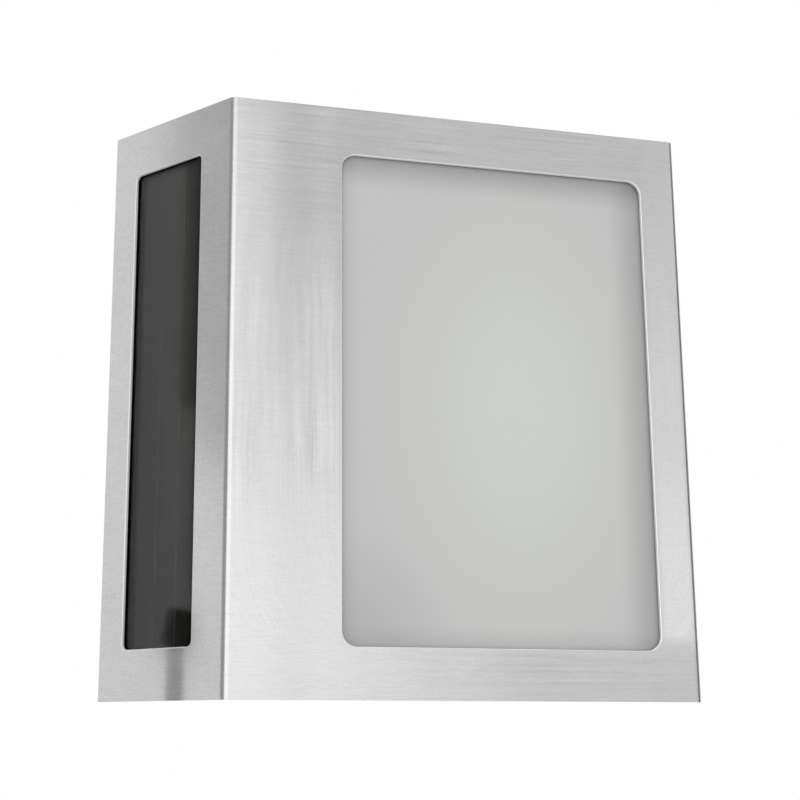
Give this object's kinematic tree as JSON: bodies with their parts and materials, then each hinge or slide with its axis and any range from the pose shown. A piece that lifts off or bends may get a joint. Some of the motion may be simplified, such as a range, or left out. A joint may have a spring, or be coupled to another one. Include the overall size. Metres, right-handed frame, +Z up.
{
  "type": "solar house number light",
  "caption": "Wall light with a folded brushed steel cover, a large opal window for a house number and a narrow solar panel in its slanted side face.",
  "frame": {"origin": "centre of the wall side, on the wall plane", "axes": "+Z up the wall, +X to the right as seen from the front, +Y into the wall (the front faces -Y)"},
  "size_m": [0.1986, 0.0486, 0.2],
  "materials": {
    "stainless_sheet": "1 mm stainless sheet, finely brushed",
    "screw_steel": "small stainless screws",
    "opal_acrylic": "frosted opal acrylic, 3 mm",
    "foam_tape": "black closed-cell foam tape",
    "panel_glass": "clear glass over the solar film",
    "cell_film": "dark thin-film solar cell",
    "panel_backing": "back coat of the solar panel",
    "solder": "solder",
    "housing_plastic": "charcoal ABS, fine texture",
    "tray_white": "white reflector plastic",
    "board_laminate": "green circuit board",
    "led_resin": "LED resin",
    "chip_resin": "black chip resin",
    "ferrite": "moulded ferrite inductor",
    "capacitor_can": "aluminium capacitor can",
    "connector_nylon": "natural nylon connectors",
    "switch_tin": "tinned switch frame",
    "switch_plastic": "black switch plastic",
    "cell_can": "plain green sleeve on a steel cell",
    "contact_nickel": "nickel-plated spring strip",
    "door_rubber": "soft black seal",
    "wire_sleeve": "insulated wire"
  },
  "bodies": {
    "light": {"front_cover": "stainless_sheet", "hook_brackets": "stainless_sheet", "cover_screws": "screw_steel", "diffuser_pane": "opal_acrylic", "diffuser_tape": "foam_tape", "panel_seal": "foam_tape", "solar_glass": "panel_glass", "solar_cells": "cell_film", "solar_backing": "panel_backing", "panel_terminals": "solder", "rear_housing": "housing_plastic", "light_tray": "tray_white", "tray_screws": "screw_steel", "led_board": "board_laminate", "leds": "led_resin", "led_board_screws": "screw_steel", "control_board": "board_laminate", "board_screws": "screw_steel", "driver_chip": "chip_resin", "inductor": "ferrite", "capacitor": "capacitor_can", "lead_connectors": "connector_nylon", "switch_base": "switch_plastic", "switch_shell": "switch_tin", "left_cell": "cell_can", "right_cell": "cell_can", "positive_contact": "contact_nickel", "negative_contact": "contact_nickel", "link_contact": "contact_nickel", "panel_leads": "wire_sleeve", "led_leads": "wire_sleeve", "battery_leads": "wire_sleeve"},
    "battery_door": {"battery_door": "housing_plastic", "door_seal": "door_rubber"},
    "switch_knob": {"switch_knob": "switch_plastic"}
  },
  "joints": [
    {"name": "door_hinge", "type": "hinge", "parent": "light", "child": "battery_door", "pos_m": [-0.05838, -0.002, -0.0211], "axis": [1, 0, 0], "range_deg": [0, 95]},
    {"name": "switch_slide", "type": "slide", "parent": "light", "child": "switch_knob", "axis": [1, 0, 0], "range_m": [0, 0.002]}
  ]
}
